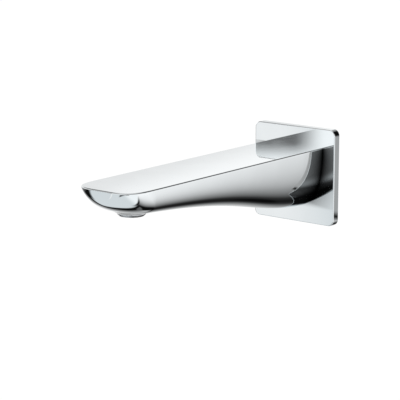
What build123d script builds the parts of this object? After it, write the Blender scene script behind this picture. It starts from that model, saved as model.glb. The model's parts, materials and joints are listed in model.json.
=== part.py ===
"""Wall-mounted bath spout: a cast hull on a square wall plate, with its inlet and aerator fittings.

Millimetres. The wall is the plane y = 0, the spout reaches out along -Y and +Z is up.
The origin is the centre of the plate's back, on the inlet's axis.
"""
import os
from math import hypot, sqrt

from build123d import *

os.makedirs("parts", exist_ok=True)

# Wall plate
plate_size = 70.0
plate_thickness = 6.0
plate_corner_radius = 4.5
plate_pocket_corner_radius = 2.2
plate_edge_round = 0.6
plate_skin = 2.2
plate_rim_width = 4.0
plate_collar_wall = 2.6
plate_collar_recess = 0.8
plate_clearance = 0.25
plate_ring_section = 1.6

# Hull: distances from the wall, drops from the flat top
spout_width = 50.0
spout_reach = 214.4
top_height = 21.5
rim_round = 0.9
hull_wall = 2.6
root_drop = 45.1
root_slope = 0.047
root_run = 54.0
nose_length = 25.4
nose_drop = 18.4
nose_slope = 0.074
nose_run = 114.0
root_side_fullness = 0.62
root_floor_fullness = 0.73
nose_side_fullness = 0.735
nose_floor_fullness = 0.94

# Nose: how far its control rows stand in from the sides and down from the top
corner_run = 14.5
corner_lean_inset = 3.2
corner_lean_drop = 1.0
corner_floor_inset = 21.0
chin_drop = 10.5
front_inset = 17.4
front_drop = 6.9
front_floor_fullness = 0.3

# Inlet: boss of the hull, adapter and set screw
boss_radius = 16.6
boss_setback = 1.0
socket_radius = 13.6
socket_clearance = 0.1
socket_end_play = 2.0
bulkhead = 3.0
bulkhead_hole_radius = 8.0
adapter_length = 30.0
thread_minor_radius = 9.3155
thread_length = 15.0
thread_lead = 1.2
relief_depth = 1.2
relief_length = 2.2
hex_across_flats = 12.0
ring_section = 1.8
ring_squeeze_gap = 0.02
ring_groove_play = 0.2
front_ring_setback = 3.5
ring_spacing = 4.6
washer_thickness = 2.0
washer_play = 0.15
washer_bore_radius = 6.6
screw_distance = 12.0
screw_radius = 3.0
screw_clearance = 0.05
screw_recess = 1.0
screw_point_length = 1.2
screw_socket_across_flats = 3.0
screw_socket_depth = 3.0
screw_pillar_wall = 2.6
lock_groove_depth = 1.2
lock_groove_floor = 1.6

# Outlet and aerator, drops from the flat top
outlet_setback = 29.4
outlet_drop = 20.9
outlet_collar_radius = 10.1
outlet_collar_height = 2.2
outlet_collar_flare = 60.0
outlet_boss_radius = 11.6
outlet_thread_radius = 9.0
outlet_thread_clearance = 0.1
outlet_ledge_radius = 7.0
outlet_ledge = 1.5
flange_radius = 9.9
flange_thickness = 1.9
flange_bevel = 1.6
sleeve_length = 8.5
sleeve_wall = 1.1
lip_thickness = 0.6
lip_width = 0.7
stack_play = 0.1
washer_ring_thickness = 1.5
grid_thickness = 1.8
grid_cell = 1.8
grid_web = 0.5
grid_border = 0.9
mesh_thickness = 0.4
mesh_hole = 1.1
mesh_pitch = 1.7
mesh_border = 0.8
spacer_height = 1.2
spacer_width = 0.8
insert_wall = 1.1
insert_notch_width = 2.0
insert_notch_height = 1.2
insert_notches = 6
spreader_thickness = 1.0
spreader_holes = 12
spreader_hole_radius = 0.5
spreader_hole_inset = 2.2
spreader_cone_radius = 3.2
spreader_cone_height = 1.6
spreader_cone_taper = 45.0
strainer_flange = 0.7
strainer_dome_height = 1.9
strainer_dome_wall = 0.5
strainer_hole_radius = 0.5
strainer_rings = 3
strainer_ring_pitch = 1.94
strainer_ring_holes = 6
strainer_crown_radius = 3.4

half_width = spout_width / 2
nose_start = spout_reach - nose_length
outlet_distance = spout_reach - outlet_setback
wall_plane = Plane.XZ
socket_depth = adapter_length + socket_end_play
bulkhead_distance = boss_setback + socket_depth
adapter_radius = socket_radius - socket_clearance
seat_drop = outlet_drop - flange_thickness
sleeve_top_drop = seat_drop - sleeve_length
ledge_drop = sleeve_top_drop - washer_ring_thickness


def level(drop):
    """Horizontal plane at a drop below the flat top, centred on the outlet."""
    return Plane((0, -outlet_distance, top_height - drop))


def section_row(distance, drop, side_fullness, floor_fullness, inset):
    """Control points of half a hull section, from the rim down and in to the keel."""
    half = half_width - inset
    top = top_height - inset
    depth = drop - 2 * inset
    return [
        Vector(half, -distance, top),
        Vector(half, -distance, top - side_fullness * depth),
        Vector(half * floor_fullness, -distance, top - depth),
        Vector(0, -distance, top - depth),
    ]


def nose_row(rim_inset, lean_inset, lean_drop, floor_inset, drop, inset):
    """Control points of half an outline in the plane of the front face."""
    half = half_width - inset
    top = top_height - inset
    front = -(spout_reach - inset)
    share = (drop - 2 * inset) / drop
    return [
        Vector(half - rim_inset, front, top),
        Vector(half - lean_inset, front, top - lean_drop * share),
        Vector(half - floor_inset, front, top - drop * share),
        Vector(0, front, top - drop * share),
    ]


def hull_nets(inset):
    """Control nets of the body and nose patches on the +X side, drawn in by an even inset."""
    side_step = (nose_side_fullness - root_side_fullness) / 3
    floor_step = (nose_floor_fullness - root_floor_fullness) / 3
    stations = [
        (plate_thickness, root_drop),
        (plate_thickness + root_run, root_drop - root_slope * root_run),
        (nose_start - nose_run, nose_drop + nose_slope * nose_run),
        (nose_start, nose_drop),
    ]
    body = []
    for step, (distance, drop) in enumerate(stations):
        side = root_side_fullness + step * side_step
        floor = root_floor_fullness + step * floor_step
        body.append(section_row(distance, drop, side, floor, inset))
    onward = corner_run / nose_run
    tangent_row = [end + (end - before) * onward for before, end in zip(body[2], body[3])]
    corner_row = nose_row(0, corner_lean_inset, corner_lean_drop, corner_floor_inset, chin_drop, inset)
    front_floor_inset = half_width - front_floor_fullness * (half_width - front_inset)
    front_row = nose_row(front_inset, front_inset, front_drop, front_floor_inset, front_drop, inset)
    return body, [body[3], tangent_row, corner_row, front_row]


def mirrored(points):
    """The same control points on the -X side."""
    return [Vector(-point.X, point.Y, point.Z) for point in points]


def hull(inset):
    """Closed hull: two smooth patches a side, a flat top, a flat root and a flat front."""
    body, nose = hull_nets(inset)
    nets = [body, nose, [mirrored(row) for row in body], [mirrored(row) for row in nose]]
    patches = [Face.make_bezier_surface(net) for net in nets]
    near_rim = [row[0] for row in nose]
    far_rim = mirrored(near_rim)
    root_corner, far_root_corner = body[0][0], mirrored(body[0])[0]
    top = Face(Wire([
        Edge.make_line(far_root_corner, root_corner),
        Edge.make_line(root_corner, near_rim[0]),
        Edge.make_bezier(*near_rim),
        Edge.make_line(near_rim[-1], far_rim[-1]),
        Edge.make_bezier(*far_rim),
        Edge.make_line(far_rim[0], far_root_corner),
    ]))
    ends = []
    for row in (body[0], nose[3]):
        far_row = mirrored(row)
        ends.append(Face(Wire([
            Edge.make_bezier(*row),
            Edge.make_bezier(*far_row),
            Edge.make_line(far_row[0], row[0]),
        ])))
    return Solid(Shell([*patches, top, *ends]))


# Space that the water fills, round the outlet's inner boss
with BuildPart() as waterway:
    add(hull(hull_wall))
    split(bisect_by=wall_plane.offset(bulkhead_distance + bulkhead))
    with BuildSketch(level(ledge_drop - outlet_ledge)):
        Circle(outlet_boss_radius)
    extrude(amount=-root_drop, mode=Mode.SUBTRACT)

# Dry space behind the bulkhead, round the inlet boss and the set screw's pillar
with BuildPart() as dry_space:
    add(hull(hull_wall))
    split(bisect_by=wall_plane.offset(bulkhead_distance), keep=Keep.BOTTOM)
    with BuildSketch(wall_plane):
        Circle(boss_radius)
    extrude(amount=spout_reach, mode=Mode.SUBTRACT)
    with BuildSketch(Plane.XY):
        with Locations((0, -screw_distance)):
            Circle(screw_radius + screw_pillar_wall)
    extrude(amount=-root_drop, mode=Mode.SUBTRACT)

# Cast hull
with BuildPart() as spout_body:
    add(hull(0))
    top_face = spout_body.faces().sort_by(Axis.Z)[-1]
    rim = top_face.edges().sort_by(Axis.Y)[:-1]
    fillet(rim, rim_round)
    with BuildSketch(level(seat_drop)):
        Circle(outlet_collar_radius)
    extrude(amount=outlet_collar_height, taper=-outlet_collar_flare)
    add(waterway.part, mode=Mode.SUBTRACT)
    add(dry_space.part, mode=Mode.SUBTRACT)
    with BuildSketch(wall_plane.offset(boss_setback)):
        Circle(boss_radius)
    extrude(amount=plate_thickness - boss_setback + hull_wall)
    with BuildSketch(wall_plane.offset(boss_setback)):
        Circle(socket_radius)
    extrude(amount=socket_depth, mode=Mode.SUBTRACT)
    with BuildSketch(wall_plane.offset(bulkhead_distance)):
        Circle(bulkhead_hole_radius)
    extrude(amount=bulkhead, mode=Mode.SUBTRACT)
    with BuildSketch(Plane.XY):
        with Locations((0, -screw_distance)):
            Circle(screw_radius + screw_clearance)
    extrude(amount=-root_drop, mode=Mode.SUBTRACT)
    with BuildSketch(level(seat_drop)):
        Circle(outlet_collar_radius)
    extrude(amount=-flange_thickness, mode=Mode.SUBTRACT)
    with BuildSketch(level(outlet_drop)):
        Circle(outlet_thread_radius)
    extrude(amount=outlet_drop - ledge_drop, mode=Mode.SUBTRACT)
    with BuildSketch(level(outlet_drop)):
        Circle(outlet_ledge_radius)
    extrude(amount=outlet_drop - ledge_drop + outlet_ledge, mode=Mode.SUBTRACT)

# Square plate, hollow at the back, with a collar round the hull's boss
plate_hole_radius = boss_radius + plate_clearance
collar_radius = plate_hole_radius + plate_ring_section + plate_collar_wall
collar_ring_distance = (plate_thickness + plate_collar_recess) / 2
with BuildPart() as wall_plate:
    with BuildSketch(wall_plane):
        RectangleRounded(plate_size, plate_size, plate_corner_radius)
    extrude(amount=plate_thickness)
    front_edges = wall_plate.faces().sort_by(Axis.Y)[0].edges()
    fillet(front_edges, plate_edge_round)
    with BuildSketch(wall_plane):
        pocket_size = plate_size - 2 * plate_rim_width
        RectangleRounded(pocket_size, pocket_size, plate_pocket_corner_radius)
    extrude(amount=plate_thickness - plate_skin, mode=Mode.SUBTRACT)
    with BuildSketch(wall_plane.offset(plate_collar_recess)):
        Circle(collar_radius)
    extrude(amount=plate_thickness - plate_collar_recess - plate_edge_round)
    with BuildSketch(wall_plane):
        Circle(plate_hole_radius)
    extrude(amount=plate_thickness, mode=Mode.SUBTRACT)
    with BuildSketch(wall_plane.offset(collar_ring_distance - plate_ring_section / 2)):
        Circle(plate_hole_radius + plate_ring_section - plate_clearance)
    extrude(amount=plate_ring_section, mode=Mode.SUBTRACT)


def o_ring(centre_radius, section_radius, distance):
    """Rubber ring round the inlet's axis."""
    with BuildPart() as ring:
        with BuildSketch(Plane.XY):
            with Locations((centre_radius, -distance)):
                Circle(section_radius)
        revolve(axis=Axis.Y)
    return ring


# Ring that grips the boss inside the plate's collar
plate_o_ring = o_ring(
    boss_radius + plate_ring_section / 2, plate_ring_section / 2 - ring_squeeze_gap, collar_ring_distance
)

# Foam seal that fills the plate's back
with BuildPart() as wall_gasket:
    with BuildSketch(wall_plane):
        gasket_size = plate_size - 2 * (plate_rim_width + plate_clearance)
        RectangleRounded(gasket_size, gasket_size, plate_pocket_corner_radius)
        Circle(collar_radius + plate_clearance, mode=Mode.SUBTRACT)
    extrude(amount=plate_thickness - plate_skin)

# Turned adapter: female thread at the wall, hex waterway, two ring grooves and the set screw's groove
adapter_end = boss_setback + adapter_length
thread_end = boss_setback + thread_length
relief_end = thread_end + relief_length
front_ring_distance = adapter_end - front_ring_setback
ring_distances = [front_ring_distance, front_ring_distance - ring_spacing]
groove_floor_radius = socket_radius - ring_section
with BuildPart() as inlet_adapter:
    with BuildSketch(wall_plane.offset(boss_setback)):
        Circle(adapter_radius)
    extrude(amount=adapter_length)
    with BuildSketch(wall_plane.offset(boss_setback)):
        Circle(thread_minor_radius)
    extrude(amount=thread_length, mode=Mode.SUBTRACT)
    with BuildSketch(wall_plane.offset(thread_end)):
        Circle(thread_minor_radius + relief_depth)
    extrude(amount=relief_length, mode=Mode.SUBTRACT)
    with BuildSketch(wall_plane.offset(relief_end)):
        RegularPolygon(hex_across_flats / 2, 6, major_radius=False)
    extrude(amount=adapter_length, mode=Mode.SUBTRACT)
    mouth = inlet_adapter.faces().sort_by(Axis.Y)[-1].edges().sort_by(SortBy.LENGTH)[0]
    chamfer(mouth, thread_lead)
    for distance in ring_distances:
        groove_start = distance - ring_section / 2 - ring_groove_play
        with BuildSketch(wall_plane.offset(groove_start)):
            Circle(adapter_radius)
            Circle(groove_floor_radius, mode=Mode.SUBTRACT)
        extrude(amount=ring_section + 2 * ring_groove_play, mode=Mode.SUBTRACT)
    with BuildSketch(Plane.XY):
        with BuildLine():
            half_floor = lock_groove_floor / 2
            half_mouth = half_floor + lock_groove_depth
            Polyline(
                (adapter_radius, -screw_distance - half_mouth),
                (adapter_radius - lock_groove_depth, -screw_distance - half_floor),
                (adapter_radius - lock_groove_depth, -screw_distance + half_floor),
                (adapter_radius, -screw_distance + half_mouth),
                close=True,
            )
        make_face()
    revolve(axis=Axis.Y, mode=Mode.SUBTRACT)

inlet_rings = [
    o_ring(socket_radius - ring_section / 2, ring_section / 2 - ring_squeeze_gap, distance)
    for distance in ring_distances
]

# Flat seal at the bottom of the thread
with BuildPart() as inlet_washer:
    with BuildSketch(wall_plane.offset(relief_end - washer_thickness)):
        Circle(thread_minor_radius + relief_depth - washer_play)
        Circle(washer_bore_radius, mode=Mode.SUBTRACT)
    extrude(amount=washer_thickness)

# Grub screw that stands on the floor of the adapter's groove, a little short of the hull's underside
screw_tip_height = -(adapter_radius - lock_groove_depth)
underside_rise = root_slope * (screw_distance - plate_thickness)
screw_end_height = top_height - root_drop + underside_rise + screw_recess
screw_length = screw_tip_height - screw_end_height
with BuildPart() as set_screw:
    with BuildSketch(Plane((0, -screw_distance, screw_tip_height))):
        Circle(lock_groove_floor / 2)
    with BuildSketch(Plane((0, -screw_distance, screw_tip_height - screw_point_length))):
        Circle(lock_groove_floor / 2 + screw_point_length)
    loft()
    with BuildSketch(Plane((0, -screw_distance, screw_tip_height - screw_point_length))):
        Circle(screw_radius)
    extrude(amount=-(screw_length - screw_point_length))
    with BuildSketch(Plane((0, -screw_distance, screw_tip_height - screw_length))):
        RegularPolygon(screw_socket_across_flats / 2, 6, major_radius=False)
    extrude(amount=screw_socket_depth, mode=Mode.SUBTRACT)

# Aerator's chromed housing: flange under the collar, threaded sleeve, lip that holds the stack
sleeve_radius = outlet_thread_radius - outlet_thread_clearance
stack_bore_radius = sleeve_radius - sleeve_wall
stack_radius = stack_bore_radius - stack_play
with BuildPart() as aerator_housing:
    with BuildSketch(level(outlet_drop)):
        Circle(flange_radius)
    extrude(amount=flange_thickness)
    flange_edge = aerator_housing.faces().sort_by(Axis.Z)[0].edges()
    chamfer(flange_edge, flange_bevel)
    with BuildSketch(level(seat_drop)):
        Circle(sleeve_radius)
    extrude(amount=sleeve_length)
    with BuildSketch(level(outlet_drop - lip_thickness)):
        Circle(stack_bore_radius)
    extrude(amount=sleeve_length + flange_thickness, mode=Mode.SUBTRACT)
    with BuildSketch(level(outlet_drop)):
        Circle(stack_bore_radius - lip_width)
    extrude(amount=lip_thickness, mode=Mode.SUBTRACT)

# Rubber ring between the sleeve and the hull's ledge
with BuildPart() as aerator_gasket:
    with BuildSketch(level(sleeve_top_drop)):
        Circle(sleeve_radius)
        Circle(outlet_ledge_radius, mode=Mode.SUBTRACT)
    extrude(amount=washer_ring_thickness)

# Stack inside the sleeve, from the outlet up
grid_bottom_drop = outlet_drop - lip_thickness
grid_top_drop = grid_bottom_drop - grid_thickness
strainer_bottom_drop = sleeve_top_drop + strainer_flange
spreader_bottom_drop = strainer_bottom_drop + spreader_thickness
mesh_radius = stack_radius - insert_wall - stack_play
mesh_top_drop = grid_top_drop - mesh_thickness
spacer_top_drop = mesh_top_drop - spacer_height

# Honeycomb that straightens the jet
cell_pitch = grid_cell + grid_web
cell_limit = stack_radius - grid_border - grid_cell / sqrt(3)
cell_span = range(-int(stack_radius / cell_pitch) - 1, int(stack_radius / cell_pitch) + 2)
cell_centres = [
    (cell_pitch * (column + row / 2), cell_pitch * row * sqrt(3) / 2)
    for row in cell_span
    for column in range(2 * cell_span[0], 2 * cell_span[-1] + 1)
]
with BuildPart() as aerator_grid:
    with BuildSketch(level(grid_bottom_drop)):
        Circle(stack_radius)
        with Locations(*[centre for centre in cell_centres if hypot(*centre) <= cell_limit]):
            RegularPolygon(grid_cell / 2, 6, major_radius=False, rotation=30, mode=Mode.SUBTRACT)
    extrude(amount=grid_thickness)


def mesh_disc(bottom_drop):
    """Woven screen, drawn as a disc with square holes."""
    count = int(2 * mesh_radius / mesh_pitch) + 1
    limit = mesh_radius - mesh_border - mesh_hole / sqrt(2)
    offsets = [(index - (count - 1) / 2) * mesh_pitch for index in range(count)]
    centres = [(x, y) for x in offsets for y in offsets if hypot(x, y) <= limit]
    with BuildPart() as disc:
        with BuildSketch(level(bottom_drop)):
            Circle(mesh_radius)
            with Locations(*centres):
                Rectangle(mesh_hole, mesh_hole, mode=Mode.SUBTRACT)
        extrude(amount=mesh_thickness)
    return disc


aerator_mesh_lower = mesh_disc(grid_top_drop)
aerator_mesh_upper = mesh_disc(spacer_top_drop)

# Ring that keeps the screens apart
with BuildPart() as aerator_spacer:
    with BuildSketch(level(mesh_top_drop)):
        Circle(mesh_radius)
        Circle(mesh_radius - spacer_width, mode=Mode.SUBTRACT)
    extrude(amount=spacer_height)

# Cage round the screens, notched below for the air
with BuildPart() as aerator_insert:
    with BuildSketch(level(grid_top_drop)):
        Circle(stack_radius)
        Circle(stack_radius - insert_wall, mode=Mode.SUBTRACT)
    extrude(amount=grid_top_drop - spreader_bottom_drop)
    with BuildSketch(level(grid_top_drop)):
        with PolarLocations(stack_radius - insert_wall / 2, insert_notches):
            Rectangle(2 * insert_wall, insert_notch_width)
    extrude(amount=insert_notch_height, mode=Mode.SUBTRACT)

# Plate that breaks the flow into jets, with a cone that turns it outwards
with BuildPart() as aerator_spreader:
    with BuildSketch(level(spreader_bottom_drop)):
        Circle(stack_radius)
        with PolarLocations(stack_radius - spreader_hole_inset, spreader_holes):
            Circle(spreader_hole_radius, mode=Mode.SUBTRACT)
    extrude(amount=spreader_thickness)
    with BuildSketch(level(strainer_bottom_drop)):
        Circle(spreader_cone_radius)
    extrude(amount=spreader_cone_height, taper=spreader_cone_taper)

# Domed strainer that keeps grit out
dome_radius = outlet_ledge_radius - 2 * stack_play
dome_base = strainer_bottom_drop - strainer_flange
with BuildPart() as aerator_strainer:
    with BuildSketch(level(strainer_bottom_drop)):
        Circle(stack_radius)
        Circle(dome_radius - strainer_dome_wall, mode=Mode.SUBTRACT)
    extrude(amount=strainer_flange)
    with BuildSketch(level(dome_base)):
        Circle(dome_radius)
    with BuildSketch(level(dome_base - strainer_dome_height)):
        Circle(strainer_crown_radius)
    loft()
    with BuildSketch(level(dome_base)):
        Circle(dome_radius - strainer_dome_wall)
    with BuildSketch(level(dome_base - strainer_dome_height + strainer_dome_wall)):
        Circle(strainer_crown_radius - strainer_dome_wall / 2)
    loft(mode=Mode.SUBTRACT)
    for ring in range(strainer_rings):
        with BuildSketch(level(dome_base)):
            if ring:
                with PolarLocations(ring * strainer_ring_pitch, ring * strainer_ring_holes):
                    Circle(strainer_hole_radius)
            else:
                Circle(strainer_hole_radius)
        extrude(amount=2 * strainer_dome_height, mode=Mode.SUBTRACT)

pieces = {
    "spout_body": spout_body,
    "wall_plate": wall_plate,
    "wall_gasket": wall_gasket,
    "plate_o_ring": plate_o_ring,
    "inlet_adapter": inlet_adapter,
    "inlet_o_ring_front": inlet_rings[0],
    "inlet_o_ring_rear": inlet_rings[1],
    "inlet_washer": inlet_washer,
    "set_screw": set_screw,
    "aerator_housing": aerator_housing,
    "aerator_gasket": aerator_gasket,
    "aerator_strainer": aerator_strainer,
    "aerator_spreader": aerator_spreader,
    "aerator_insert": aerator_insert,
    "aerator_mesh_upper": aerator_mesh_upper,
    "aerator_spacer": aerator_spacer,
    "aerator_mesh_lower": aerator_mesh_lower,
    "aerator_grid": aerator_grid,
}
for name, piece in pieces.items():
    piece.part.label = name
    export_step(piece.part, f"parts/{name}.step")
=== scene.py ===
"""Wall-mounted bath spout: a smooth chrome hull, fine detail and a small studio round the CAD frame.

Lengths in the tables of sizes are millimetres, as in the CAD model. Blender's own units are metres.
"""

import json
from collections import namedtuple
from math import cos, pi, radians, sin, tan

import bmesh
import bpy
import numpy as np
from mathutils import Matrix, Vector


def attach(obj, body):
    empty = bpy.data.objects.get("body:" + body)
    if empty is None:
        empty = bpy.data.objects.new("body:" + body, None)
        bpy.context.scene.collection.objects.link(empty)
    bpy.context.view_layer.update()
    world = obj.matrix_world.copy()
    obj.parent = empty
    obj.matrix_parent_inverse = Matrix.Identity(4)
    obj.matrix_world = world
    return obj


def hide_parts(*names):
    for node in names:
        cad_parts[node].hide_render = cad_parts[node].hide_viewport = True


MM = 0.001

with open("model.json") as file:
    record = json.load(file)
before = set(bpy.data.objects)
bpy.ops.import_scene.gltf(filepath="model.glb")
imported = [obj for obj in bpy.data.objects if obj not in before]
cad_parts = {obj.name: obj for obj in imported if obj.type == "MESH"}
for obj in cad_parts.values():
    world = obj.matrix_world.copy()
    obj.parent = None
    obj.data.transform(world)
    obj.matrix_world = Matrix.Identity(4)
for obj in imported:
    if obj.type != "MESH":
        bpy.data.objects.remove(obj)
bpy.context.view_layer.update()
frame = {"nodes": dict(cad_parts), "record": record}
nodes = frame["nodes"]

# Camera, its place in metres and its turn in degrees, fitted to the plate's edges and the hull's outline
camera_place = (0.67982, -0.96448, 0.23426)
camera_azimuth = 38.664
camera_elevation = 12.220
camera_lens = 148.5
camera_sensor = 36.0

# Hull
plate_thickness = 6.0
half_width = 25.0
spout_reach = 214.4
top_height = 21.5
rim_round = 0.9
root_drop = 45.1
root_slope = 0.047
root_run = 54.0
nose_start = 189.0
nose_drop = 18.4
nose_slope = 0.074
nose_run = 114.0
root_side_fullness = 0.62
root_floor_fullness = 0.73
nose_side_fullness = 0.735
nose_floor_fullness = 0.94
corner_run = 14.5
corner_lean_inset = 3.2
corner_lean_drop = 1.0
corner_floor_inset = 21.0
chin_drop = 10.5
front_inset = 17.4
front_drop = 6.9
front_floor_fullness = 0.3

# Inlet boss, set screw and outlet, as cut into the hull
boss_radius = 16.6
boss_setback = 1.0
boss_overlap = 2.6
socket_radius = 13.6
socket_depth = 32.0
screw_distance = 12.0
screw_hole_radius = 3.05
outlet_distance = 185.0
outlet_drop = 20.9
seat_drop = 19.0
collar_radius = 10.1
collar_height = 2.2
collar_flare = 60.0
outlet_thread_radius = 9.0
outlet_ledge_drop = 9.0
outlet_ledge_radius = 7.0
outlet_ledge = 1.5
cut_margin = 1.0

# Inlet thread, G 1/2, cut into the adapter's plain bore
thread_pitch = 1.814
thread_start = -0.5
thread_end = 17.0
thread_crest_radius = 9.2
thread_crest_half = 0.78
thread_root_radius = 10.42
thread_root_half = 0.14
thread_steps = 60

# Plain colours, red green blue alpha
black = (0.0, 0.0, 0.0, 1.0)
white = (1.0, 1.0, 1.0, 1.0)

# Studio light from below: directions laid flat round straight down, x to the right and y to the wall
table_left = (0.68, 0.715, 0.73, 1)
table_right = (0.93, 0.95, 0.96, 1)
table_turn = (0.12, 0.55)
table_side = -0.93
table_back = 0.08
table_corner = 0.30
table_notch = 0.3
table_notch_slope = 0.1
table_edge = (-0.07, 0.07)
gap_stops = [(0.06, 0.004), (0.16, 0.006), (0.22, 0.127), (0.31, 0.28), (0.50, 0.60), (0.80, 0.95)]
gap_depth = (0.55, 0.75)
gap_side = (-0.15, 0.0)
wall_width = 0.45
wall_foot = (0.51, 0.79)
wall_foot_rise = 0.77
wall_stops = [
    (0.74, 0.004), (0.86, 0.032), (1.00, 0.127), (1.27, 0.305), (1.60, 0.58), (1.90, 0.86), (2.15, 1.0),
]

# Light from above, by the sine of the elevation
sky_stops = [(0.0, 1.0), (0.28, 1.0), (0.45, 0.45), (0.62, 0.18), (0.74, 0.22), (0.92, 0.9)]
horizon = (-0.02, 0.06)
sky_turn = (-0.1, 0.5)
sky_shade = 0.4

# Soft ovals in the light from below
Oval = namedtuple("Oval", "x y length width turn soft tone")
ovals = [
    Oval(0.47, 0.12, 0.25, 0.028, 13.0, 1.2, 0.004),
    Oval(0.06, 0.27, 0.20, 0.075, -25.0, 0.5, 0.10),
]

# Soft panels, in degrees of elevation and of azimuth from the front
Panel = namedtuple("Panel", "low high left right below above beside slant tone")
panels = [
    Panel(-15.5, -9.5, -36.4, -36.0, 3.0, 3.0, 2.8, 0.0, 0.88),
    Panel(-37.0, -30.0, -4.0, 26.0, 4.0, 8.0, 8.0, 0.0, 0.05),
    Panel(-38.0, -9.0, 30.0, 44.0, 4.0, 5.0, 7.0, 0.0, 0.19),
    Panel(0.0, 10.15, -45.0, -35.4, 5.0, 0.7, 1.2, 0.0, 0.13),
    Panel(0.0, 11.65, -165.0, -110.0, 4.0, 1.1, 10.0, 0.3, 0.80),
    Panel(27.0, 46.0, 125.0, 174.0, 5.0, 8.0, 6.0, 0.0, 0.01),
]

# Upright cards that only reflections show, softened by a share of their width and height
Flag = namedtuple("Flag", "name x y z soft tone")
flags = [
    Flag("flag_below", (-110.0, 100.0), -178.0, (-215.0, -85.0), 0.25, 0.004),
    Flag("flag_beside", (37.0, 46.0), 9.0, (-36.5, 60.0), 0.06, 0.004),
    Flag("card_beside", (36.5, 46.5), 8.0, (-31.0, 32.0), 0.08, 0.36),
]

# Floor, far enough below to leave the metal its light
floor_drop = 300.0
floor_size = 16000.0
floor_colour = (0.40, 0.40, 0.40, 1)
floor_glow = 0.84

# Painted shade in the chrome's corners: its reach, openness from dark to clear, and where it fades out
crease_reach = 25.0
under_crease_reach = 60.0
crease_open = (0.5, 1.0)
under_facing = (-0.6, -0.2)
foot_height = (-16.0, -24.0)
crease_power = 0.8

# Grain of the materials: part of the noise that is used, its detail and the tone of its dark end
noise_low = 0.3
noise_high = 0.7
metal_detail = 4.0
metal_shade = 0.975
dull_detail = 6.0
dull_shade = 0.8
bump_strength = 0.3

# Density and shading of the meshes
body_rows = 160
nose_rows = 72
section_columns = 72
rim_steps = 5
cutter_sides = 96
sharp_angle = 30.0
face_weight = 100
tiny = 1e-9


def bernstein(t):
    """Cubic Bezier weights."""
    t = np.asarray(t, float)[..., None]
    s = 1 - t
    return np.concatenate([s ** 3, 3 * s * s * t, 3 * s * t * t, t ** 3], -1)


def bernstein_slope(t):
    """Derivatives of the cubic Bezier weights."""
    t = np.asarray(t, float)[..., None]
    s = 1 - t
    return np.concatenate([-3 * s * s, 3 * s * (s - 2 * t), 3 * t * (2 * s - t), 3 * t * t], -1)


def section_row(distance, drop, side_fullness, floor_fullness):
    """Control points of half a hull section, from the rim down and in to the keel."""
    low = top_height - drop
    return [
        (half_width, -distance, top_height),
        (half_width, -distance, top_height - side_fullness * drop),
        (half_width * floor_fullness, -distance, low),
        (0, -distance, low),
    ]


def nose_row(rim_inset, lean_inset, lean_drop, floor_inset, drop):
    """Control points of half an outline in the plane of the front face."""
    low = top_height - drop
    return [
        (half_width - rim_inset, -spout_reach, top_height),
        (half_width - lean_inset, -spout_reach, top_height - lean_drop),
        (half_width - floor_inset, -spout_reach, low),
        (0, -spout_reach, low),
    ]


def hull_nets():
    """Control nets of the body and nose patches on the +X side."""
    stations = [
        (plate_thickness, root_drop),
        (plate_thickness + root_run, root_drop - root_slope * root_run),
        (nose_start - nose_run, nose_drop + nose_slope * nose_run),
        (nose_start, nose_drop),
    ]
    sides = np.linspace(root_side_fullness, nose_side_fullness, 4)
    floors = np.linspace(root_floor_fullness, nose_floor_fullness, 4)
    body = np.array([
        section_row(distance, drop, side, floor)
        for (distance, drop), side, floor in zip(stations, sides, floors)
    ])
    tangent_row = body[3] + (body[3] - body[2]) * corner_run / nose_run
    corner_row = nose_row(0, corner_lean_inset, corner_lean_drop, corner_floor_inset, chin_drop)
    front_floor_inset = half_width - front_floor_fullness * (half_width - front_inset)
    front_row = nose_row(front_inset, front_inset, front_drop, front_floor_inset, front_drop)
    return body, np.array([body[3], tangent_row, corner_row, front_row])


def hull_section(net, u):
    """Points of one section at u: from the top, over the rim's round, down the side and in to the keel."""
    row = bernstein(u) @ net.reshape(4, 12)
    row = row.reshape(4, 3)
    rim = row[0]
    along = bernstein_slope(u) @ net[:, 0]
    along /= np.linalg.norm(along)
    inward = np.array([along[1], -along[0], 0])
    if inward[0] > 0 or (abs(inward[0]) < tiny and inward[1] < 0):
        inward = -inward
    down = 3 * (row[1] - row[0])
    speed = np.linalg.norm(down)
    down = down / speed
    half_angle = np.arccos(np.clip(inward @ down, -1, 1)) / 2
    setback = rim_round / np.tan(half_angle)
    first = setback / speed
    side = bernstein(np.linspace(first, 1, section_columns + 1)) @ row
    start = rim + inward * setback
    weight = np.sin(half_angle)
    t = np.linspace(0, 1, rim_steps + 1)[:-1, None]
    blend = (1 - t) ** 2 + 2 * t * (1 - t) * weight + t ** 2
    arc = ((1 - t) ** 2 * start + 2 * t * (1 - t) * weight * rim + t ** 2 * side[0]) / blend
    return np.concatenate([arc, side])


def mesh_object(name, points, faces):
    """Object with a mesh of these points, in millimetres."""
    mesh = bpy.data.meshes.new(name)
    mesh.from_pydata([tuple(p) for p in np.asarray(points) * MM], [], faces)
    mesh.update()
    obj = bpy.data.objects.new(name, mesh)
    bpy.context.scene.collection.objects.link(obj)
    return obj


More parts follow.
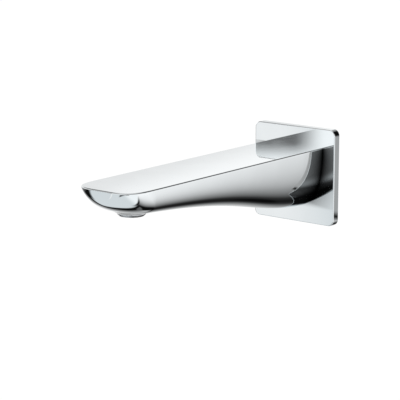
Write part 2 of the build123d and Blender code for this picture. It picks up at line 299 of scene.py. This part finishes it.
def hull_skin():
    """Closed outer form of the hull."""
    body, nose = hull_nets()
    stations = [(body, u) for u in np.linspace(0, 1, body_rows + 1)]
    stations += [(nose, u) for u in np.linspace(0, 1, nose_rows + 1)[1:]]
    halves = np.array([hull_section(net, u) for net, u in stations])
    far = halves[:, -2::-1] * np.array([-1, 1, 1])
    grid = np.concatenate([halves, far], axis=1)
    rows, columns = grid.shape[:2]
    index = np.arange(rows * columns).reshape(rows, columns)
    faces = []
    for i in range(rows - 1):
        for j in range(columns - 1):
            faces.append((index[i, j], index[i, j + 1], index[i + 1, j + 1], index[i + 1, j]))
    last = index[-1]
    for k in range(rim_steps):
        faces.append((last[k], last[k + 1], last[-2 - k], last[-1 - k]))
    faces.append(tuple(last[rim_steps:columns - rim_steps]))
    faces.append(tuple(index[0, ::-1]))
    faces.append(tuple(index[:, 0]) + tuple(index[::-1, -1]))
    return mesh_object("hull_skin", grid.reshape(-1, 3), [tuple(int(i) for i in f) for f in faces])


def rod(name, radius, start, end, end_radius=None):
    """Closed cylinder between two points, or a cone where the end has its own radius."""
    end_radius = radius if end_radius is None else end_radius
    start, end = Vector(start) * MM, Vector(end) * MM
    axis = end - start
    turn = axis.to_track_quat("Z", "Y").to_matrix().to_4x4()
    place = Matrix.Translation((start + end) / 2) @ turn
    work = bmesh.new()
    bmesh.ops.create_cone(
        work, cap_ends=True, segments=cutter_sides, radius1=radius * MM, radius2=end_radius * MM,
        depth=axis.length, matrix=place,
    )
    mesh = bpy.data.meshes.new(name)
    work.to_mesh(mesh)
    work.free()
    obj = bpy.data.objects.new(name, mesh)
    bpy.context.scene.collection.objects.link(obj)
    return obj


def outlet_point(drop):
    """Point on the outlet's axis at a drop below the flat top."""
    return (0, -outlet_distance, top_height - drop)


def combine(target, operand, operation):
    """Applies one boolean to the target and deletes the operand."""
    step = target.modifiers.new(operation.lower(), "BOOLEAN")
    step.operation = operation
    step.solver = "EXACT"
    step.object = operand
    bpy.context.view_layer.update()
    result = bpy.data.meshes.new_from_object(target.evaluated_get(bpy.context.evaluated_depsgraph_get()))
    target.modifiers.remove(step)
    target.data = result
    bpy.data.objects.remove(operand)


def build_hull():
    """The cast hull: skin, boss and collar joined, then the socket, screw hole and outlet cut."""
    hull = hull_skin()
    boss = rod("boss", boss_radius, (0, -boss_setback, 0), (0, -plate_thickness - boss_overlap, 0))
    combine(hull, boss, "UNION")
    collar = rod(
        "collar", collar_radius, outlet_point(seat_drop), outlet_point(seat_drop - collar_height),
        collar_radius + collar_height * tan(radians(collar_flare)),
    )
    combine(hull, collar, "UNION")
    cuts = [
        rod("socket", socket_radius, (0, 0, 0), (0, -boss_setback - socket_depth, 0)),
        rod("screw_hole", screw_hole_radius, (0, -screw_distance, -root_drop), (0, -screw_distance, 0)),
        rod("seat", collar_radius, outlet_point(outlet_drop + cut_margin), outlet_point(seat_drop)),
        rod("thread", outlet_thread_radius, outlet_point(outlet_drop), outlet_point(outlet_ledge_drop)),
        rod("ledge", outlet_ledge_radius, outlet_point(outlet_drop),
            outlet_point(outlet_ledge_drop - outlet_ledge)),
    ]
    for cut in cuts:
        combine(hull, cut, "DIFFERENCE")
    hull.name = "spout_hull"
    return hull


def thread_cutter():
    """Closed helical ridge that cuts the inlet's thread."""
    profile = [
        (thread_crest_radius, -thread_crest_half), (thread_crest_radius, thread_crest_half),
        (thread_root_radius, thread_root_half), (thread_root_radius, -thread_root_half),
    ]
    count = int((thread_end - thread_start) / thread_pitch * thread_steps)
    points = []
    for k in range(count + 1):
        angle = 2 * pi * k / thread_steps
        distance = thread_start + thread_pitch * k / thread_steps
        points += [(r * cos(angle), -distance + shift, r * sin(angle)) for r, shift in profile]
    faces = [(0, 1, 2, 3), (4 * count + 3, 4 * count + 2, 4 * count + 1, 4 * count)]
    for k in range(count):
        a, b = 4 * k, 4 * k + 4
        faces += [(a + i, b + i, b + (i + 1) % 4, a + (i + 1) % 4) for i in range(4)]
    cutter = mesh_object("thread_cutter", points, faces)
    work = bmesh.new()
    work.from_mesh(cutter.data)
    bmesh.ops.recalc_face_normals(work, faces=work.faces)
    work.to_mesh(cutter.data)
    work.free()
    return cutter


def build_adapter():
    """The turned adapter with its thread."""
    node = nodes["inlet_adapter"]
    adapter = bpy.data.objects.new("threaded_adapter", node.data.copy())
    bpy.context.scene.collection.objects.link(adapter)
    adapter.matrix_world = node.matrix_world.copy()
    combine(adapter, thread_cutter(), "DIFFERENCE")
    return adapter


def smooth(obj):
    """Smooth shading that keeps hard edges and flat faces."""
    obj.data.shade_smooth()
    obj.data.set_sharp_from_angle(angle=radians(sharp_angle))
    step = obj.modifiers.new("normals", "WEIGHTED_NORMAL")
    step.keep_sharp = True
    step.weight = face_weight


def grey(tone):
    """Colour of one grey level."""
    return (tone, tone, tone, 1)


class Nodes:
    """Short way to add and link shader nodes."""

    def __init__(self, tree):
        self.tree = tree
        self.tree.nodes.clear()

    def add(self, kind, inputs=None, **settings):
        node = self.tree.nodes.new(kind)
        for key, value in settings.items():
            setattr(node, key, value)
        for key, value in (inputs or {}).items():
            if isinstance(value, bpy.types.NodeSocket):
                self.tree.links.new(value, node.inputs[key])
            else:
                node.inputs[key].default_value = value
        return node

    def math(self, operation, first, second=0.0):
        return self.add("ShaderNodeMath", {0: first, 1: second}, operation=operation).outputs["Value"]

    def degrees(self, value):
        return self.math("DEGREES", value)

    def spread(self, value, low, high, bottom=0.0, top=1.0):
        """The value moved from low..high to bottom..top."""
        return self.add("ShaderNodeMapRange", {
            "Value": value, "From Min": low, "From Max": high, "To Min": bottom, "To Max": top,
        }).outputs["Result"]

    def step(self, value, low, high):
        """0 below low, 1 above high and smooth between."""
        return self.add("ShaderNodeMapRange", {
            "Value": value, "From Min": low, "From Max": high,
        }, interpolation_type="SMOOTHSTEP").outputs["Result"]

    def band(self, value, low, high, below, above):
        """1 between low and high, falling to 0 over the distances below and above."""
        rise = self.step(value, low - below, low)
        fall = self.step(value, high + above, high)
        return self.math("MULTIPLY", rise, fall)

    def length(self, first, second):
        """Length of the vector with these two parts."""
        pair = self.add("ShaderNodeCombineXYZ", {"X": first, "Y": second})
        measure = self.add("ShaderNodeVectorMath", {0: pair.outputs["Vector"]}, operation="LENGTH")
        return measure.outputs["Value"]

    def noise(self, coord, scale, detail):
        """Noise in the object's own space."""
        inputs = {"Vector": coord.outputs["Object"], "Scale": scale, "Detail": detail}
        return self.add("ShaderNodeTexNoise", inputs).outputs["Fac"]

    def blend(self, share, first, second):
        """Mix of two colours."""
        return self.add("ShaderNodeMix", {0: share, 6: first, 7: second}, data_type="RGBA").outputs[2]

    def ramp(self, value, stops):
        """Colour ramp whose stops are grey levels or colours, at any values."""
        first, last = stops[0][0], stops[-1][0]
        node = self.add("ShaderNodeValToRGB", {"Fac": self.spread(value, first, last)})
        elements = node.color_ramp.elements
        while len(elements) < len(stops):
            elements.new(1.0)
        for element, (position, colour) in zip(elements, stops):
            element.position = (position - first) / (last - first)
            element.color = (*colour, 1) if isinstance(colour, tuple) else grey(colour)
        return node.outputs["Color"]


def material(name):
    """New material with an empty node tree."""
    made = bpy.data.materials.new(name)
    made.use_nodes = True
    return made, Nodes(made.node_tree)


def paint_crease_shade(n, place, colour):
    """The colour with painted shade: darker in the corners between the flat top and the plate's foot."""
    height = n.add("ShaderNodeSeparateXYZ", {"Vector": place}).outputs["Z"]
    above = n.step(height, (top_height - rim_round) * MM, top_height * MM)
    normal = n.add("ShaderNodeNewGeometry").outputs["Normal"]
    facing = n.add("ShaderNodeSeparateXYZ", {"Vector": normal}).outputs["Z"]
    # Painted shade: ambient occlusion darkens the colour towards black, the wide reach only on faces that
    # face down; the flat top and low faces that don't face down stay clear
    shades = []
    for reach in (crease_reach, under_crease_reach):
        closeness = n.add("ShaderNodeAmbientOcclusion", {"Distance": reach * MM})
        shades.append(n.math("POWER", n.spread(closeness.outputs["AO"], *crease_open), crease_power))
    upright = n.step(facing, *under_facing)
    foot = n.math("MULTIPLY", upright, n.step(height, *(z * MM for z in foot_height)))
    under = n.math("MAXIMUM", shades[1], upright)
    lit = n.math("MINIMUM", shades[0], under)
    lit = n.math("MAXIMUM", lit, n.math("MAXIMUM", above, foot))
    return n.blend(lit, black, colour)


def metal(name, colour, rough, spread, grain, creases=False):
    """Metal whose gloss and tone vary a little over the surface, with painted shade in its corners where
    creases is set.
    """
    made, n = material(name)
    coord = n.add("ShaderNodeTexCoord")
    grains = n.noise(coord, grain, metal_detail)
    gloss = n.spread(grains, noise_low, noise_high, rough, rough + spread)
    tone = n.ramp(grains, [(noise_low, tuple(c * metal_shade for c in colour)), (noise_high, colour)])
    # Painted shade: the colour darkens towards black in the corners
    if creases:
        tone = paint_crease_shade(n, coord.outputs["Object"], tone)
    shader = n.add("ShaderNodeBsdfPrincipled", {
        "Base Color": tone, "Roughness": gloss, "Metallic": 1.0,
    })
    n.add("ShaderNodeOutputMaterial", {"Surface": shader.outputs["BSDF"]})
    return made


def dull(name, colour, rough, grain, depth):
    """Rubber, foam or moulded plastic with a fine uneven surface."""
    made, n = material(name)
    coord = n.add("ShaderNodeTexCoord")
    grains = n.noise(coord, grain, dull_detail)
    tone = n.ramp(grains, [(noise_low, tuple(c * dull_shade for c in colour)), (noise_high, colour)])
    bump = n.add("ShaderNodeBump", {"Height": grains, "Strength": bump_strength, "Distance": depth * MM})
    shader = n.add("ShaderNodeBsdfPrincipled", {
        "Base Color": tone, "Roughness": rough, "Normal": bump.outputs["Normal"],
    })
    n.add("ShaderNodeOutputMaterial", {"Surface": shader.outputs["BSDF"]})
    return made


def dress(obj, made):
    """Gives an object one material."""
    obj.data.materials.clear()
    obj.data.materials.append(made)


# The chrome's colour carries painted shade in its corners
chrome = metal("chrome", (0.93, 0.965, 0.98), rough=0.02, spread=0.02, grain=60, creases=True)
satin_chrome = metal("satin_chrome", (0.80, 0.81, 0.83), rough=0.26, spread=0.08, grain=200)
brass = metal("brass", (0.80, 0.62, 0.30), rough=0.22, spread=0.15, grain=400)
steel = metal("steel", (0.60, 0.60, 0.61), rough=0.25, spread=0.15, grain=500)
rubber = dull("rubber", (0.03, 0.03, 0.03), rough=0.7, grain=900, depth=0.05)
foam = dull("foam", (0.09, 0.09, 0.095), rough=0.9, grain=1500, depth=0.2)
plastic = dull("plastic", (0.78, 0.79, 0.80), rough=0.45, grain=700, depth=0.02)
slot_materials = {
    "chrome_hull": chrome, "chrome_plate": chrome, "chrome_aerator": satin_chrome,
    "brass": brass, "steel": steel, "rubber": rubber, "foam": foam, "plastic": plastic,
}
for subpart in frame["record"]["subparts"]:
    dress(nodes[subpart["node"]], slot_materials[subpart["material_slot"]])

hull = build_hull()
smooth(hull)
dress(hull, chrome)
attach(hull, "root")
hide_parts("spout_body")

adapter = build_adapter()
smooth(adapter)
dress(adapter, brass)
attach(adapter, "root")
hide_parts("inlet_adapter")


def light_from_below(n, right, back, up):
    """Pale table before the wall, a dark gap at its edge and a wall that is lit on both sides."""
    scale = n.math("SQRT", n.spread(up, 1.0, -1.0))
    x = n.math("DIVIDE", right, scale)
    y = n.math("DIVIDE", back, scale)
    table = n.blend(n.step(x, *table_turn), table_left, table_right)
    notch = n.math("MULTIPLY", n.math("ABSOLUTE", n.math("SUBTRACT", x, table_notch)), table_notch_slope)
    past_side = n.math("SUBTRACT", table_side + table_corner, x)
    past_back = n.math("SUBTRACT", y, n.math("ADD", notch, table_back - table_corner))
    outside = n.length(n.math("MAXIMUM", past_side, 0.0), n.math("MAXIMUM", past_back, 0.0))
    edge = n.math("SUBTRACT", outside, table_corner)
    rise = n.spread(y, *wall_foot, 0.0, wall_foot_rise)
    wall = n.ramp(n.length(n.math("DIVIDE", x, wall_width), rise), wall_stops)
    gap = n.blend(n.step(y, *gap_depth), n.ramp(edge, gap_stops), wall)
    light = n.blend(n.step(edge, *table_edge), table, n.blend(n.step(x, *gap_side), gap, wall))
    for oval in ovals:
        turn = radians(oval.turn)
        dx = n.math("SUBTRACT", x, oval.x)
        dy = n.math("SUBTRACT", y, oval.y)
        u = n.math("ADD", n.math("MULTIPLY", dx, cos(turn)), n.math("MULTIPLY", dy, sin(turn)))
        v = n.math("SUBTRACT", n.math("MULTIPLY", dy, cos(turn)), n.math("MULTIPLY", dx, sin(turn)))
        reach = n.length(n.math("DIVIDE", u, oval.length), n.math("DIVIDE", v, oval.width))
        inside = n.step(reach, 1 + oval.soft, 1 / (1 + oval.soft))
        light = n.blend(inside, light, grey(oval.tone))
    return light


def studio_world():
    """Soft studio light for the metal, and white to the camera."""
    world = bpy.data.worlds.new("studio")
    world.use_nodes = True
    n = Nodes(world.node_tree)
    coord = n.add("ShaderNodeTexCoord")
    split = n.add("ShaderNodeSeparateXYZ", {"Vector": coord.outputs["Generated"]})
    right, back, up = split.outputs["X"], split.outputs["Y"], split.outputs["Z"]
    shade = n.math("MULTIPLY", n.step(right, *sky_turn), sky_shade)
    sky = n.blend(shade, n.ramp(up, sky_stops), black)
    light = n.blend(n.step(up, *horizon), light_from_below(n, right, back, up), sky)
    azimuth = n.degrees(n.math("ARCTAN2", right, n.math("MULTIPLY", back, -1.0)))
    elevation = n.degrees(n.math("ARCSINE", up))
    for panel in panels:
        middle = (panel.left + panel.right) / 2
        lean = n.math("MULTIPLY", n.math("SUBTRACT", azimuth, middle), panel.slant)
        tall = n.band(n.math("SUBTRACT", elevation, lean), panel.low, panel.high, panel.below, panel.above)
        wide = n.band(azimuth, panel.left, panel.right, panel.beside, panel.beside)
        light = n.blend(n.math("MULTIPLY", tall, wide), light, grey(panel.tone))
    path = n.add("ShaderNodeLightPath")
    lit = n.add("ShaderNodeBackground", {"Color": light, "Strength": 1.0})
    seen = n.add("ShaderNodeBackground", {"Color": white, "Strength": 1.0})
    mixed = n.add("ShaderNodeMixShader", {
        0: path.outputs["Is Camera Ray"], 1: lit.outputs["Background"], 2: seen.outputs["Background"],
    })
    n.add("ShaderNodeOutputWorld", {"Surface": mixed.outputs["Shader"]})
    bpy.context.scene.world = world


def studio_flag(flag):
    """Card of one grey level with soft edges, seen in the metal and not by the camera."""
    corners = [(flag.x[i], flag.y, flag.z[k]) for i, k in ((0, 0), (1, 0), (1, 1), (0, 1))]
    card = mesh_object(flag.name, corners, [(0, 1, 2, 3)])
    made, n = material(flag.name)
    glow = n.add("ShaderNodeEmission", {"Color": grey(flag.tone)})
    clear = n.add("ShaderNodeBsdfTransparent")
    place = n.add("ShaderNodeSeparateXYZ", {"Vector": n.add("ShaderNodeTexCoord").outputs["Generated"]})
    wide, tall = (
        n.band(place.outputs[axis], flag.soft, 1 - flag.soft, flag.soft, flag.soft) for axis in ("X", "Z")
    )
    shader = n.add("ShaderNodeMixShader", {
        0: n.math("MULTIPLY", wide, tall), 1: clear.outputs["BSDF"], 2: glow.outputs["Emission"],
    })
    n.add("ShaderNodeOutputMaterial", {"Surface": shader.outputs["Shader"]})
    dress(card, made)
    card.visible_camera = False
    card.visible_diffuse = False
    card.visible_shadow = False


def studio_floor():
    """Pale floor far below: white to the camera but for the object's shadow, and open from beneath."""
    half = floor_size / 2
    corners = [(x, y, -floor_drop) for x, y in ((-half, -half), (half, -half), (half, half), (-half, half))]
    floor = mesh_object("studio_floor", corners, [(0, 1, 2, 3)])
    made, n = material("pale_floor")
    path = n.add("ShaderNodeLightPath")
    matt = n.add("ShaderNodeBsdfDiffuse", {"Color": floor_colour})
    strength = n.math("MULTIPLY", path.outputs["Is Camera Ray"], floor_glow)
    glow = n.add("ShaderNodeEmission", {"Strength": strength})
    pale = n.add("ShaderNodeAddShader", {0: matt.outputs["BSDF"], 1: glow.outputs["Emission"]})
    clear = n.add("ShaderNodeBsdfTransparent")
    beneath = n.add("ShaderNodeNewGeometry").outputs["Backfacing"]
    shader = n.add("ShaderNodeMixShader", {0: beneath, 1: pale.outputs["Shader"], 2: clear.outputs["BSDF"]})
    n.add("ShaderNodeOutputMaterial", {"Surface": shader.outputs["Shader"]})
    dress(floor, made)
    floor.visible_glossy = False


def place_camera():
    """Camera at the photograph's place."""
    data = bpy.data.cameras.new("camera")
    data.lens = camera_lens
    data.sensor_width = camera_sensor
    camera = bpy.data.objects.new("camera", data)
    camera.location = camera_place
    camera.rotation_euler = (radians(90 - camera_elevation), 0, radians(camera_azimuth))
    bpy.context.scene.collection.objects.link(camera)
    bpy.context.scene.camera = camera


studio_world()
studio_floor()
for flag in flags:
    studio_flag(flag)
place_camera()
bpy.context.scene.view_settings.view_transform = "Standard"
bpy.context.view_layer.update()
